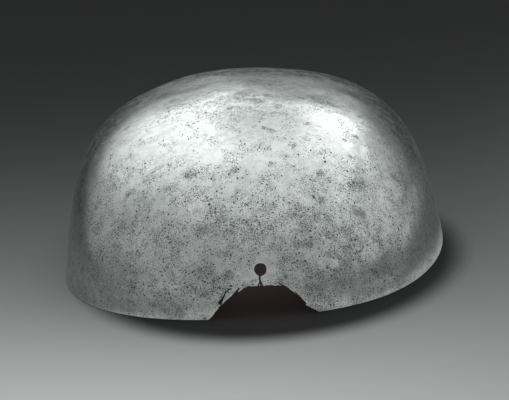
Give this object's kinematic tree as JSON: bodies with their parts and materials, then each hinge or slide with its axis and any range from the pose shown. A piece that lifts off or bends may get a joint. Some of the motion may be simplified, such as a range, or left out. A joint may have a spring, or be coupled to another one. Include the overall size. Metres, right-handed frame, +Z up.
{
  "type": "iron skull cap",
  "caption": "Low oval skull cap of one polished iron plate, with a notch in the front of its rim and a small lace hole above the notch.",
  "frame": {"origin": "middle of the rim's rectangle, in the flat plane that the rim rests on", "axes": "+Z up to the crown, -Y to the front with the notch, +Y to the back of the head, +X to the right of a front view"},
  "size_m": [0.2006, 0.228, 0.095],
  "materials": {
    "iron_shell": "worn polished iron outside, dark and rusty inside"
  },
  "bodies": {
    "root": {"skull_bowl": "iron_shell"}
  },
  "joints": []
}
